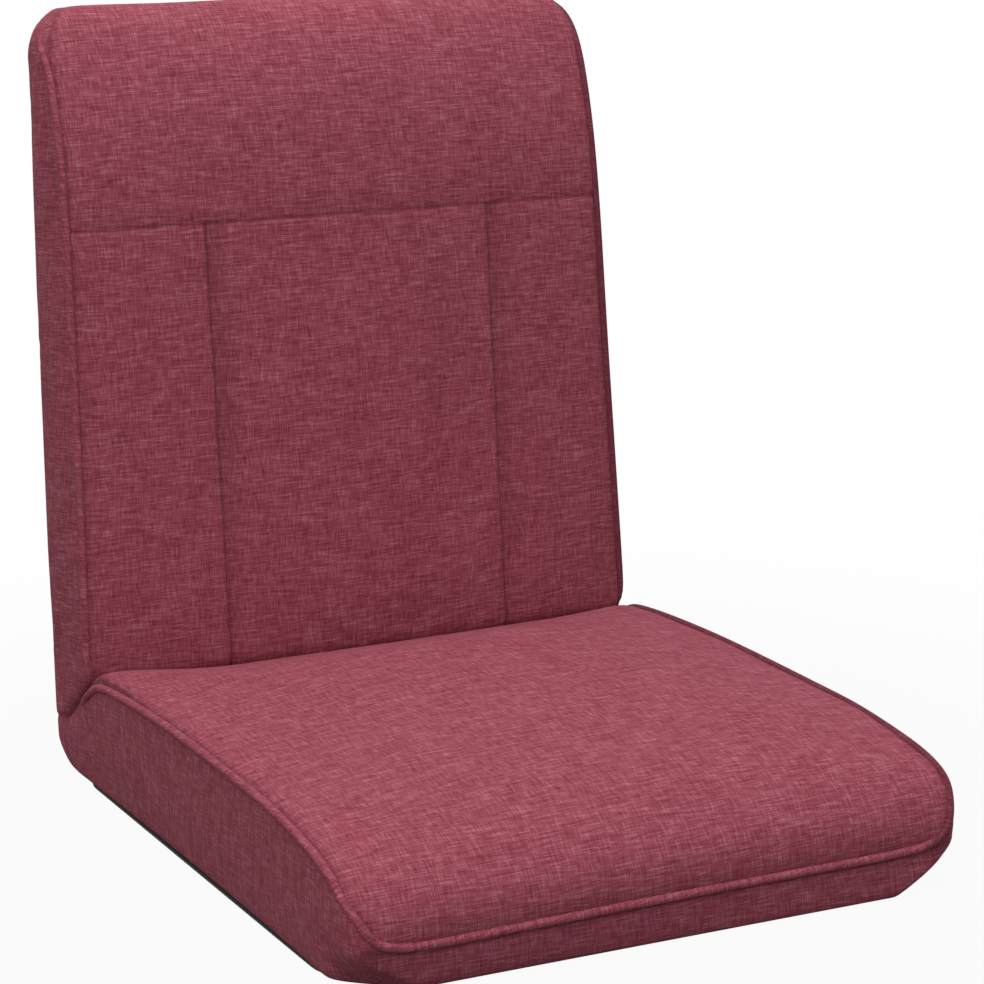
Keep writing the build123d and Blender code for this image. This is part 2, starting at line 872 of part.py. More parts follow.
def headed_pins(side, places, radius, head, half, head_height):
    """Riveted pins across a hinge: a shank between two flat heads at each place."""
    with BuildPart() as pins:
        with BuildSketch(side):
            with Locations(*places):
                Circle(radius)
        extrude(amount=half, both=True)
        for end in (-half - head_height, half):
            with BuildSketch(side.offset(end)):
                with Locations(*places):
                    Circle(head)
            extrude(amount=head_height)
    return pins


def rings(side, place, outer, bore, starts, length):
    """Plain rings on a pin, one from each start along it."""
    with BuildPart() as ring:
        for start in starts:
            with BuildSketch(side.offset(start)):
                with Locations(place):
                    Circle(outer)
                    Circle(bore, mode=Mode.SUBTRACT)
            extrude(amount=length)
    return ring


def ratchet_arm(x):
    """Toothed plate on the pivot with a tail that is riveted inside the back tube."""
    with BuildPart() as arm:
        with BuildSketch(back_side.offset(-x)):
            Circle(ratchet_radius)
            with Locations((0, arm_reach / 2)):
                Rectangle(2 * arm_half, arm_reach)
            with PolarLocations(
                0, clicks, pawl_angle - recline - click * clicks_back, click * clicks
            ):
                Polygon(
                    (ratchet_radius - tooth_depth, 0),
                    (ratchet_radius + pawl_play, tooth_half),
                    (ratchet_radius + pawl_play, -tooth_half),
                    align=None,
                    mode=Mode.SUBTRACT,
                )
            Circle(pin_radius + pin_clearance, mode=Mode.SUBTRACT)
            with Locations(*back_rivets):
                Circle(rivet_radius + pin_clearance, mode=Mode.SUBTRACT)
        extrude(amount=arm_plate / 2, both=True)
    return arm


def pawl(x):
    """Pawl, held clear of the teeth by its release angle."""
    middle = seat_side.offset(x)
    turn = radians(pawl_release)
    plane = Plane(
        origin=middle.from_local_coords((pawl_pivot[0], pawl_pivot[1], 0)),
        x_dir=(0, cos(turn), sin(turn)),
        z_dir=(1, 0, 0),
    )
    tip = from_axis(tip_out - pawl_out, -pawl_down)
    point = from_axis(ratchet_radius - tooth_depth + pawl_play - pawl_out, -pawl_down)
    low = from_axis(tip_out - pawl_out, tooth_half - pawl_down)
    high = from_axis(tip_out - pawl_out, -tooth_half - pawl_down)
    with BuildPart() as body:
        with BuildSketch(plane):
            Circle(pawl_hub)
            with Locations(tip):
                Circle(pawl_tip)
            make_hull()
            Polygon(point, low, high, align=None)
            Circle(pawl_pin_radius + pin_clearance, mode=Mode.SUBTRACT)
        extrude(amount=arm_plate / 2, both=True)
    return body


clear = arm_plate / 2 + side_gap
for name, side in (("left", -1), ("right", 1)):
    x = side * frame_half_width
    middle = seat_side.offset(x)
    grip = tube_radius + cheek_plate
    pieces[f"{name}_hinge_outer_cheek"] = cheek(x + side * tube_radius, side * cheek_plate)
    pieces[f"{name}_hinge_inner_cheek"] = cheek(x - side * tube_radius, -side * cheek_plate)
    pieces[f"{name}_hinge_pin"] = headed_pins(
        middle, [(0, 0)], pin_radius, pin_head, grip, pin_head_height
    )
    pieces[f"{name}_hinge_bushes"] = rings(
        middle,
        (0, 0),
        bush_radius,
        pin_radius + pin_clearance,
        (-tube_radius, clear),
        tube_radius - clear,
    )
    pieces[f"{name}_ratchet_arm"] = ratchet_arm(x)
    pieces[f"{name}_pawl"] = pawl(x)
    pieces[f"{name}_pawl_pin"] = headed_pins(
        middle, [pawl_pivot], pawl_pin_radius, rivet_head, grip, rivet_head_height
    )
    pieces[f"{name}_pawl_bush"] = rings(
        middle, pawl_pivot, pawl_hub, pawl_pin_radius + pin_clearance, (clear,), tube_radius - clear
    )
    pieces[f"{name}_pawl_spring"] = rings(
        middle,
        pawl_pivot,
        pawl_hub,
        pawl_pin_radius + pin_clearance,
        (-tube_radius,),
        tube_radius - clear,
    )
    pieces[f"{name}_seat_rivets"] = headed_pins(
        middle, seat_rivets, rivet_radius, rivet_head, grip, rivet_head_height
    )
    pieces[f"{name}_back_rivets"] = headed_pins(
        back_side.offset(-x), back_rivets, rivet_radius, rivet_head, tube_radius, rivet_head_height
    )

for name, piece in pieces.items():
    piece.part.label = name
    export_step(piece.part, f"parts/{name}.step")
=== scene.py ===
# %% [markdown]
# # A folding floor chair, dressed
# The frame that is loaded here is the engineered chair: tubes, ratchet hinges and plain padding.  The real chair
# shows none of that.  It shows cloth, so this lesson pulls a cover over each cushion, sews the channels, lays the
# piping in its seams and lights the result as a catalogue photo does.

import math
from functools import cache

import bmesh
import bpy
from mathutils import Matrix, Vector, kdtree, noise


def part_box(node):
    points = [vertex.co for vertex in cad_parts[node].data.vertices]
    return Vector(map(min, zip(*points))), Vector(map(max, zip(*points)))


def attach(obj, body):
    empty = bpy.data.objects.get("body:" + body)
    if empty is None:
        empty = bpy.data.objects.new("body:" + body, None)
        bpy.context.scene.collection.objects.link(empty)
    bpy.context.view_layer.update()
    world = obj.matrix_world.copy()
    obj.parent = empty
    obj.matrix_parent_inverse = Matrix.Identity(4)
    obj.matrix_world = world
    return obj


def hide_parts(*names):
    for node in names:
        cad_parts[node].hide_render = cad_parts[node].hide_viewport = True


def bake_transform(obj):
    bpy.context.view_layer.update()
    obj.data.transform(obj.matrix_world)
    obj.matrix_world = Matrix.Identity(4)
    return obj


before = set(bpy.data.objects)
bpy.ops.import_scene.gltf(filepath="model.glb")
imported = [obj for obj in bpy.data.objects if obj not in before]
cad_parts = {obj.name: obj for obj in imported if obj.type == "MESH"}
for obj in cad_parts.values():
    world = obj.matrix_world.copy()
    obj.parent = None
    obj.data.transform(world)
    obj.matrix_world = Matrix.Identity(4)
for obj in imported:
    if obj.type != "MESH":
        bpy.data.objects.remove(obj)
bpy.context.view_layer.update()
MM = 0.001

# %% [markdown]
# ## Camera
# The camera comes first, because every later choice is judged through it.  Its place and its lens were found by
# fitting the straight lines of the cushions, so the perspective of the seat is the photo's own.

# %% Camera
IMAGE = 984
FOCAL_PX = 3039
SENSOR = 36.0
YAW, PITCH = 27.59, 13.45
CAMERA_AT = (-0.9415, -1.817, 0.7281)

camera_data = bpy.data.cameras.new("camera")
camera_data.sensor_width = SENSOR
camera_data.lens = FOCAL_PX * SENSOR / IMAGE
camera = bpy.data.objects.new("camera", camera_data)
camera.location = CAMERA_AT
camera.rotation_euler = (math.radians(90 - PITCH), 0, math.radians(-YAW))
bpy.context.scene.collection.objects.link(camera)
bpy.context.scene.camera = camera
print("lens", round(camera_data.lens, 1), "mm")

# %% [markdown]
# ## Small helpers for materials
# Colours are written as sRGB hex values, as a colour picker gives them, and one function turns them to the linear
# values that the shader works in.  One more function adds a node, sets it and links it.

# %% Material helpers


def linear(hexcode):
    """sRGB hex to a linear colour with alpha."""
    parts = [int(hexcode[i : i + 2], 16) / 255 for i in (1, 3, 5)]
    return [c / 12.92 if c <= 0.04045 else ((c + 0.055) / 1.055) ** 2.4 for c in parts] + [1.0]


def add_node(tree, kind, inputs=None, **settings):
    """A node with its settings; inputs maps a socket to a value or to another node's output."""
    made = tree.nodes.new(kind)
    for name, value in settings.items():
        setattr(made, name, value)
    for socket, value in (inputs or {}).items():
        if isinstance(value, bpy.types.NodeSocket):
            tree.links.new(value, made.inputs[socket])
        else:
            made.inputs[socket].default_value = value
    return made


def new_material(name):
    """An empty node material with its output node."""
    material = bpy.data.materials.new(name)
    material.use_nodes = True
    tree = material.node_tree
    tree.nodes.clear()
    return material, tree, tree.nodes.new("ShaderNodeOutputMaterial")


# %% [markdown]
# ## The cloth
# The cover is a linen-look polyester: thick and thin yarns dyed in two wine reds, woven plainly.  A yarn keeps its
# shade for some millimetres and then changes, so the cloth shows short dashes across and along it, and that crossed
# hatching is what the eye reads as linen.  Here every yarn is a row of its own: the row's number is rounded off with
# a floor, so a noise along the row has sharp edges towards its neighbours.  Fine and thick yarns run both ways, and
# a much larger noise lets the dye drift.  The pattern follows each panel through its UV map, in metres, so the
# yarns run true over every curve.

# %% Cloth material
# Linen-look polyester is matt and a little fuzzy at grazing light, so it is rough, with a faint sheen.
# Way of the yarn, its thickness, the length of one shade, and its weight in the mix.  The real yarns are 0.4 mm;
# they are drawn about one picture point thick, so that they show.
YARNS = (
    ("across", 0.66 * MM, 15.0 * MM, 0.40),
    ("along", 0.66 * MM, 10.0 * MM, 0.34),
    ("across", 1.30 * MM, 28.0 * MM, 0.15),
    ("along", 1.30 * MM, 18.0 * MM, 0.11),
)
# how a yarn's own noise becomes its shade: a few dark stretches, mostly plain, now and then a pale one
YARN_SHADES = ((0.29, 0.22), (0.46, 0.52), (0.56, 0.64), (0.69, 1.0))
# the dye drifts over this size, with this weight in the mix
DRIFT, DRIFT_WEIGHT = 36 * MM, 0.09
# rows next to each other lie this far apart in the noise, so that neighbours share nothing
ROW_APART = 3.71
# the mix that gives the darkest and the lightest colour
MIX_LOW, MIX_HIGH = 0.30, 1.04
YARN_RELIEF = 0.4 * MM


def slub_cloth(name, dark, middle, light, painted_shade_colour):
    """Plain-woven slub polyester; the point attribute 'seam' mixes in painted shade along the stitching and in
    shaded places.
    """
    material, tree, output = new_material(name)
    weave = add_node(tree, "ShaderNodeUVMap", uv_map="weave").outputs["UV"]
    spread = add_node(
        tree,
        "ShaderNodeTexNoise",
        {"Vector": weave, "Scale": 1 / DRIFT, "Detail": 3.0, "Roughness": 0.6},
        noise_dimensions="2D",
    ).outputs[0]
    spread = add_node(tree, "ShaderNodeMath", {0: spread, 1: DRIFT_WEIGHT}, operation="MULTIPLY").outputs[0]
    for way, thick, length, weight in YARNS:
        cell = (length, thick, 1) if way == "across" else (thick, length, 1)
        rows = add_node(tree, "ShaderNodeVectorMath", {0: weave, 1: cell}, operation="DIVIDE").outputs[0]
        axes = add_node(tree, "ShaderNodeSeparateXYZ", {0: rows})
        run, row = (0, 1) if way == "across" else (1, 0)
        number = add_node(tree, "ShaderNodeMath", {0: axes.outputs[row]}, operation="FLOOR").outputs[0]
        stray = add_node(tree, "ShaderNodeMath", {0: number, 1: ROW_APART}, operation="MULTIPLY").outputs[0]
        lane = add_node(tree, "ShaderNodeCombineXYZ", {0: axes.outputs[run], 1: stray}).outputs[0]
        shade = add_node(
            tree,
            "ShaderNodeTexNoise",
            {"Vector": lane, "Scale": 1.0, "Detail": 1.0, "Roughness": 0.5},
            noise_dimensions="2D",
        ).outputs[0]
        dyed = add_node(tree, "ShaderNodeValToRGB", {"Fac": shade})
        stops = dyed.color_ramp.elements
        while len(stops) < len(YARN_SHADES):
            stops.new(0.5)
        for stop, (at, grey) in zip(stops, YARN_SHADES):
            stop.position, stop.color = at, (grey, grey, grey, 1)
        spread = add_node(
            tree,
            "ShaderNodeMath",
            {0: dyed.outputs["Color"], 1: weight, 2: spread},
            operation="MULTIPLY_ADD",
        ).outputs[0]
    shade = add_node(
        tree,
        "ShaderNodeMapRange",
        {"Value": spread, "From Min": MIX_LOW, "From Max": MIX_HIGH},
    ).outputs[0]
    ramp = add_node(tree, "ShaderNodeValToRGB", {"Fac": shade})
    ramp.color_ramp.elements[0].color = linear(dark)
    ramp.color_ramp.elements[1].color = linear(light)
    ramp.color_ramp.elements.new(0.50).color = linear(middle)
    # painted shade: the point attribute 'seam' mixes the shade colour into the cloth
    seam = add_node(tree, "ShaderNodeAttribute", attribute_name="seam").outputs["Fac"]
    colour = add_node(
        tree,
        "ShaderNodeMix",
        {"Factor": seam, 6: ramp.outputs["Color"], 7: linear(painted_shade_colour)},
        data_type="RGBA",
    ).outputs[2]
    relief = add_node(
        tree,
        "ShaderNodeBump",
        {"Strength": 0.4, "Distance": YARN_RELIEF, "Height": spread},
    ).outputs[0]
    shader = add_node(
        tree,
        "ShaderNodeBsdfPrincipled",
        {
            "Base Color": colour,
            "Roughness": 0.92,
            "Specular IOR Level": 0.15,
            "Sheen Weight": 0.06,
            "Sheen Roughness": 0.5,
            "Sheen Tint": linear("#d9a0ab"),
            "Normal": relief,
        },
    )
    tree.links.new(shader.outputs[0], output.inputs["Surface"])
    return material


# the last colour is the painted shade that the 'seam' attribute mixes in
wine_cloth = slub_cloth("slub_polyester_wine", "#732c38", "#9f4d5b", "#ba7985", "#4a1a24")
print("cloth", wine_cloth.name, len(wine_cloth.node_tree.nodes), "nodes")

# %% [markdown]
# ## Cushion building
# A cushion starts as its side view: a few corners, each rounded with a vertex bevel.  The face is extruded to the
# cushion's width, and a voxel remesh turns the block into an even net of small squares, which is what cloth needs.
# The net is then shaped with plain functions of place (crown, drawn-in sides, rounded corners) before it is blown
# up like a stuffed cover.

# %% Cushion helpers
VOXEL = 3.6 * MM
# the most that stuffing may move a point
STUFFING = 5 * MM
# cloth is held near a welt seam: fully up to the first distance, not at all past the second
SEAM_HOLD = 6 * MM, 26 * MM
# a welt seam draws the cloth in this deep and this wide
EDGE_VALLEY, EDGE_WIDTH = 2.0 * MM, 9 * MM
# foam is never quite even: a slow swell of this height
SWELL = 0.5 * MM
OUTLINE_STEP = 2 * MM
# a face that looks sideways more than this belongs to an end of the block
END_FACING = 0.62


def side_block(corners, half_width):
    """A closed block and its side view: corners are (y, z, rounding), extruded to both sides."""
    bm = bmesh.new()
    verts = [bm.verts.new((-half_width, y, z)) for y, z, _ in corners]
    bm.faces.new(verts)
    for vert, (_, _, rounding) in zip(verts, corners):
        if rounding:
            bmesh.ops.bevel(
                bm,
                geom=[vert],
                offset=rounding,
                offset_type="OFFSET",
                affect="VERTICES",
                segments=9,
                profile=0.5,
                material=-1,
            )
    side = bm.faces[:]
    outline = [(v.co.y, v.co.z) for v in side[0].verts]
    grown = bmesh.ops.extrude_face_region(bm, geom=side, use_keep_orig=True)
    far_side = [v for v in grown["geom"] if isinstance(v, bmesh.types.BMVert)]
    bmesh.ops.translate(bm, verts=far_side, vec=(2 * half_width, 0, 0))
    bmesh.ops.remove_doubles(bm, verts=bm.verts, dist=1e-6)
    bmesh.ops.recalc_face_normals(bm, faces=bm.faces)
    return bm, outline


def crossings(outline, at, axis):
    """Where a side view's outline meets a line at a given y (axis 0) or z (axis 1)."""
    found = []
    for a, b in zip(outline, outline[1:] + outline[:1]):
        if min(a[axis], b[axis]) <= at <= max(a[axis], b[axis]) and a[axis] != b[axis]:
            share = (at - a[axis]) / (b[axis] - a[axis])
            found.append(a[1 - axis] + share * (b[1 - axis] - a[1 - axis]))
    return found


def put_in_scene(bm, name):
    """The bmesh as an object at the origin."""
    mesh = bpy.data.meshes.new(name)
    bm.to_mesh(mesh)
    bm.free()
    piece = bpy.data.objects.new(name, mesh)
    bpy.context.scene.collection.objects.link(piece)
    return piece


def settle_modifiers(piece):
    """Applies every modifier to the piece's mesh."""
    seen = piece.evaluated_get(bpy.context.evaluated_depsgraph_get())
    applied = bpy.data.meshes.new_from_object(seen)
    piece.modifiers.clear()
    piece.data = applied
    applied.name = piece.name


def remesh(piece, size):
    """An even net of squares over the block, with the voxel steps smoothed away."""
    modifier = piece.modifiers.new("net", "REMESH")
    modifier.mode = "VOXEL"
    modifier.voxel_size = size
    settle_modifiers(piece)
    bm = bmesh.new()
    bm.from_mesh(piece.data)
    for _ in range(2):
        bmesh.ops.smooth_vert(
            bm, verts=bm.verts, factor=0.5, use_axis_x=True, use_axis_y=True, use_axis_z=True
        )
    bm.to_mesh(piece.data)
    bm.free()


def shape(piece, place):
    """Moves every vertex to where the function of its place says."""
    for vert in piece.data.vertices:
        vert.co = place(vert.co.copy())
    piece.data.update()


def stuff(piece, held, cap, pressure=4.0, frames=12):
    """Blows the cover up like stuffing does, pinned where held is 1, each point moving cap at most."""
    rest = [v.co.copy() for v in piece.data.vertices]
    group = piece.vertex_groups.new(name="sewn")
    for vert in piece.data.vertices:
        group.add([vert.index], held(vert.co), "REPLACE")
    cloth = piece.modifiers.new("stuffing", "CLOTH")
    cloth.settings.use_pressure = True
    cloth.settings.uniform_pressure_force = pressure
    cloth.settings.vertex_group_mass = group.name
    cloth.settings.quality = 3
    cloth.settings.mass = 0.3
    cloth.settings.tension_stiffness = 12
    cloth.settings.compression_stiffness = 12
    cloth.settings.bending_stiffness = 0.8
    cloth.settings.effector_weights.gravity = 0
    cloth.collision_settings.use_collision = False
    cloth.point_cache.frame_start, cloth.point_cache.frame_end = 1, frames
    scene = bpy.context.scene
    for step in range(1, frames + 1):
        scene.frame_set(step)
    settle_modifiers(piece)
    scene.frame_set(1)
    moved = 0.0
    for vert, start in zip(piece.data.vertices, rest):
        push = vert.co - start
        if push.length > cap:
            vert.co = start + push * (cap / push.length)
        moved = max(moved, min(push.length, cap))
    piece.vertex_groups.clear()
    print(piece.name, "stuffed, largest move", round(moved / MM, 1), "mm")


def refine(piece, near, cuts):
    """Divides the net where near says so, so that a thin seam has points to bend at."""
    bm = bmesh.new()
    bm.from_mesh(piece.data)
    fine = [e for e in bm.edges if near(e.verts[0].co) and near(e.verts[1].co)]
    bmesh.ops.subdivide_edges(bm, edges=fine, cuts=cuts, use_grid_fill=True)
    bm.to_mesh(piece.data)
    bm.free()


def sew(piece, pull):
    """Draws the cloth in along its seams: pull gives (inward depth, painted shade) for a place and normal."""
    mesh = piece.data
    normals = [v.normal.copy() for v in mesh.vertices]
    # the point attribute 'seam' holds painted shade
    dark = mesh.attributes.new("seam", "FLOAT", "POINT")
    for vert, normal in zip(mesh.vertices, normals):
        depth, shade = pull(vert.co, normal)
        vert.co = vert.co - normal * depth
        dark.data[vert.index].value = shade
    mesh.update()


def weave_map(piece, outline, sides_along):
    """A UV map in metres: width and way round the outline; on the ends the main yarn runs along y or z."""
    steps, reach = [], 0.0
    for (y, z), (next_y, next_z) in zip(outline, outline[1:] + outline[:1]):
        length = math.hypot(next_y - y, next_z - z)
        parts = max(1, round(length / OUTLINE_STEP))
        for part in range(parts):
            share = part / parts
            at = (0, y + share * (next_y - y), z + share * (next_z - z))
            steps.append((reach + share * length, at))
        reach += length
    tree = kdtree.KDTree(len(steps))
    for index, (_, at) in enumerate(steps):
        tree.insert(at, index)
    tree.balance()
    mesh = piece.data
    around = []
    for vert in mesh.vertices:
        spot, index, _ = tree.find((0, vert.co.y, vert.co.z))
        ahead = Vector(steps[(index + 1) % len(steps)][1]) - spot
        slip = (Vector((0, vert.co.y, vert.co.z)) - spot).dot(ahead.normalized())
        around.append(steps[index][0] + slip)
    layer = mesh.uv_layers.new(name="weave")
    for face in mesh.polygons:
        on_end = abs(face.normal.x) > END_FACING
        low = min(around[v] for v in face.vertices)
        for loop in face.loop_indices:
            corner = mesh.loops[loop].vertex_index
            place = mesh.vertices[corner].co
            if on_end:
                layer.data[loop].uv = (place.z, place.y) if sides_along == "z" else (place.y, place.z)
            else:
                turn = around[corner] - (reach if around[corner] - low > reach / 2 else 0.0)
                layer.data[loop].uv = (place.x, turn)


def ease(value, low, high):
    """0 below low, 1 above high, and a smooth step between."""
    t = min(1.0, max(0.0, (value - low) / (high - low)))
    return t * t * (3 - 2 * t)


def bell(distance, width):
    """1 at no distance, falling off smoothly over the width."""
    return math.exp(-((distance / width) ** 2))


def finish_cover(piece, material):
    """One material and smooth shading."""
    piece.data.materials.clear()
    piece.data.materials.append(material)
    for face in piece.data.polygons:
        face.use_smooth = True


# %% [markdown]
# ## Seat cushion
# The seat is a flat box cushion with a long sloping nose.  One top panel runs over the nose; a border band goes
# round the sides and the low front.  Its rear lip comes up to the hinge line, where the back stands on it.

# %% Seat cushion
SEAT_HALF = 225 * MM
SEAT_FRONT = -265 * MM
SEAT_TOP = 91 * MM
SEAT_CROWN, SEAT_LIP = 8 * MM, 5 * MM
SEAT_DRAW = 2.5 * MM
SEAT_CORNER = 20 * MM
# the front corners: how far their rounding turns, and its share of a full round
CORNER_ROUND, CORNER_SHARE = 0.98, 0.9
# the toe is drawn in under the front welt: how far, over which depths, how hollow, and how much more at the right
TOE_TUCK, TOE_PUSH, SIDE_TUCK = 40 * MM, 9 * MM, 3 * MM
TOE_RANGE = 215 * MM, 262 * MM
TOE_HOLLOW, TOE_RIGHT = 1.35, 0.3
# the crown fades towards the rear; there the sides keep a lip, full at the left and slight at the right
CROWN_RANGE = -170 * MM, -70 * MM
LIP_ACROSS, LIP_RANGE = (0.6, 0.95), (60 * MM, 150 * MM)
RIGHT_LIP = SEAT_LIP / 5
BASE_THICK = 1.6 * MM
UNDERSIDE = BASE_THICK - 0.3 * MM
HINGE = Vector((0, 237.5 * MM, 44 * MM))
CREASE_DEGREES = 36.7
REAR = 259.5 * MM
WELT_HIGH = 30 * MM

seat_corners = [
    (HINGE.y, HINGE.z, 0),
    (173 * MM, SEAT_TOP - 3 * MM, 8 * MM),
    (62 * MM, SEAT_TOP + 5 * MM, 60 * MM),
    (-172 * MM, SEAT_TOP + 1 * MM, 46 * MM),
    (SEAT_FRONT, 70 * MM, 38 * MM),
    (SEAT_FRONT, WELT_HIGH, 0),
    (SEAT_FRONT + 3 * MM, 0, 5 * MM),
    (REAR, 0, 33 * MM),
    (REAR, HINGE.z + 2 * MM, 2 * MM),
]


def seat_half_at(y):
    """Half width of the seat at a depth: sides draw in between their ends, front corners are rounded."""
    start = SEAT_FRONT + SEAT_CORNER
    middle = (start + REAR) / 2
    reach = (REAR - start) / 2
    half = SEAT_HALF - SEAT_DRAW * (1 - min(1.0, ((y - middle) / reach) ** 2))
    ahead = max(0.0, min(1.0, (start - y) / SEAT_CORNER))
    return half - SEAT_CORNER * (1 - math.sqrt(1 - ahead * ahead * CORNER_ROUND)) * CORNER_SHARE


def seat_place(co):
    """The block's point as a cushion's: crowned, with lips at the rear sides and a toe drawn in below."""
    co.z = max(co.z, UNDERSIDE)
    across = co.x / SEAT_HALF
    high = ease(co.z, WELT_HIGH, SEAT_TOP)
    crown = SEAT_CROWN * (1 - across * across) * high * ease(-co.y, *CROWN_RANGE)
    lip = SEAT_LIP * ease(-across, *LIP_ACROSS) + RIGHT_LIP * ease(across, *LIP_ACROSS)
    crown += lip * high * ease(co.y, *LIP_RANGE)
    low = min(1.0, max(0.0, 1 - co.z / WELT_HIGH))
    toe = ease(-co.y, *TOE_RANGE)
    tuck = TOE_TUCK * low**TOE_HOLLOW * toe * (1 + TOE_RIGHT * max(0.0, across)) + SIDE_TUCK * low * low
    push = TOE_PUSH * low * toe * (1 + across) / 2
    return Vector((across * (seat_half_at(co.y) - tuck), co.y - push, co.z + crown))


seat_block, seat_outline = side_block(seat_corners, SEAT_HALF)
seat_cushion = put_in_scene(seat_block, "seat_cushion")
remesh(seat_cushion, VOXEL)
shape(seat_cushion, seat_place)


def seat_edge_distance(co):
    """How far a place is from the welt seam: along the top edges of the sides, low across the front."""
    side = seat_half_at(co.y) - abs(co.x)
    along_side = math.hypot(side, max(nose_top(co.y), WELT_HIGH) - co.z)
    along_front = math.hypot(co.z - WELT_HIGH, co.y - SEAT_FRONT)
    return min(along_side, along_front)


@cache
def seat_top_at(millimetre):
    """Height of the side view's top line at a whole millimetre of depth."""
    return max(crossings(seat_outline, millimetre * MM, 0), default=WELT_HIGH)


def nose_top(y):
    """Height of the seat's top line at its sides, from the nose to the crease."""
    return seat_top_at(round(y / MM))


def seat_held(co):
    """How firmly the cover is held: at its seams, on the floor and in the crease."""
    near_seam = 1 - ease(seat_edge_distance(co), *SEAM_HOLD)
    on_floor = 1 - ease(co.z, 2 * MM, 14 * MM)
    in_crease = 1 - ease((co - HINGE).yz.length, 40 * MM, 80 * MM)
    return max(near_seam, on_floor, in_crease)


stuff(seat_cushion, seat_held, STUFFING)
print("seat cushion", len(seat_cushion.data.polygons), "faces")


# %% [markdown]
# ## Seat seams
# Stitching draws the cloth in beside the welt, and a dark line of painted shade lies there.  The low front strip is
# turned to the floor and gets painted shade as well.

# %% Seat seams
SEAT_SWELL_SIZE = 55 * MM
# painted shade: a dark line beside the welt, and the low front strip under the nose
SEAT_LINE, EDGE_PAINTED_SHADE = 5 * MM, 0.55
STRIP_RANGE, STRIP_FADE, STRIP_PAINTED_SHADE = (235 * MM, 255 * MM), 8 * MM, 0.24


def seat_pull(co, normal):
    """How deep the seat's seams draw a place in, and the painted shade there and on the front strip; the normal
    plays no part here.
    """
    gap = seat_edge_distance(co)
    valley = EDGE_VALLEY * bell(gap, EDGE_WIDTH)
    swell = SWELL * noise.noise(co / SEAT_SWELL_SIZE)
    on_strip = ease(-co.y, *STRIP_RANGE) * (1 - ease(co.z, WELT_HIGH - STRIP_FADE, WELT_HIGH))
    shade = max(STRIP_PAINTED_SHADE * on_strip, EDGE_PAINTED_SHADE * bell(gap, SEAT_LINE))
    return valley - swell * ease(co.z, 4 * MM, 20 * MM), shade


sew(seat_cushion, seat_pull)
weave_map(seat_cushion, seat_outline, "z")
finish_cover(seat_cushion, wine_cloth)

# %% [markdown]
# ## Back cushion
# The back is drawn upright about its hinge line, where its panels are square to the axes, and leaned back last.
# Its front panel is crowned and rolls over the head; below a seam across the head two upright channels are sewn.

# %% Back cushion
BACK_LOW, BACK_HIGH = 225.5 * MM, 216 * MM
BACK_LENGTH = 518 * MM
BACK_FRONT = 55 * MM
BACK_CROWN = 11 * MM
BACK_DRAW = 2 * MM
BACK_CORNER = 46 * MM
REAR_BOW = 8 * MM
HEAD_SEAM = 357 * MM
CHANNEL = 114.5 * MM
RECLINE_DEGREES = 6
RECLINE = math.radians(RECLINE_DEGREES)
BACK_CREASE = math.radians(90 + RECLINE_DEGREES - CREASE_DEGREES)
KNUCKLE = 22.5 * MM
UNDERLAP = 5 * MM
# places before this belong to the front panels
FRONT_ZONE = -30 * MM
SEWN_HOLD = 4 * MM, 30 * MM

crease_up = BACK_FRONT / math.tan(BACK_CREASE)
back_corners = [
    (0, -UNDERLAP, 0),
    (-BACK_FRONT, crease_up, 7 * MM),
    (-BACK_FRONT, 442 * MM, 62 * MM),
    (-19 * MM, BACK_LENGTH, 16 * MM),
    (14 * MM, BACK_LENGTH, 20 * MM),
    (KNUCKLE, -UNDERLAP, 2 * MM),
]


def back_half_at(up):
    """Half width of the back at a height: it tapers, draws in a little and has round top corners."""
    share = up / BACK_LENGTH
    half = BACK_LOW + (BACK_HIGH - BACK_LOW) * share - BACK_DRAW * (1 - (2 * share - 1) ** 2)
    over = max(0.0, min(1.0, (up - (BACK_LENGTH + 8 * MM - BACK_CORNER)) / BACK_CORNER))
    return half - BACK_CORNER * (1 - math.sqrt(1 - over * over))


def back_place(co):
    """The block's point as a cushion's: tapered, crowned in front and bowed behind."""
    across = co.x / BACK_LOW
    up = co.z
    front = ease(-co.y, 0.0, 40 * MM)
    crown = BACK_CROWN * (1 - across * across) * front
    bow = REAR_BOW * math.sin(math.pi * min(1.0, max(0.0, up / (BACK_LENGTH - 20 * MM)))) * (1 - front)
    return Vector((across * back_half_at(up), co.y - crown + bow, up))


back_block, back_outline = side_block(back_corners, BACK_LOW)
back_cushion = put_in_scene(back_block, "back_cushion")
remesh(back_cushion, VOXEL)
shape(back_cushion, back_place)


def channel_distance(co):
    """How far a place on the front is from the nearest upright channel, and from the head seam."""
    below = max(0.0, co.z - HEAD_SEAM)
    return math.hypot(min(abs(co.x - CHANNEL), abs(co.x + CHANNEL)), below), abs(co.z - HEAD_SEAM)


@cache
def back_front_at(millimetre):
    """Depth of the side view's front line at a whole millimetre of height."""
    return min(crossings(back_outline, millimetre * MM, 1), default=-15 * MM)


def front_line(up):
    """The front edge of the back's sides, seen from the side."""
    return back_front_at(round(up / MM))


def back_edge_distance(co):
    """How far a place is from the welt at the front edge of the sides."""
    return math.hypot(back_half_at(co.z) - abs(co.x), co.y - front_line(co.z))


def back_held(co):
    """How firmly the cover is held: at the channels and the head seam, at the welt and in the crease."""
    channel, head = channel_distance(co)
    on_front = 1 if co.y < FRONT_ZONE else 0
    near_seam = on_front * max(1 - ease(channel, *SEWN_HOLD), 1 - ease(head, *SEWN_HOLD))
    near_edge = 1 - ease(back_edge_distance(co), *SEAM_HOLD)
    in_crease = 1 - ease(co.z, 20 * MM, 60 * MM)
    return max(near_seam, near_edge, in_crease)


stuff(back_cushion, back_held, STUFFING)
print("back cushion", len(back_cushion.data.polygons), "faces")


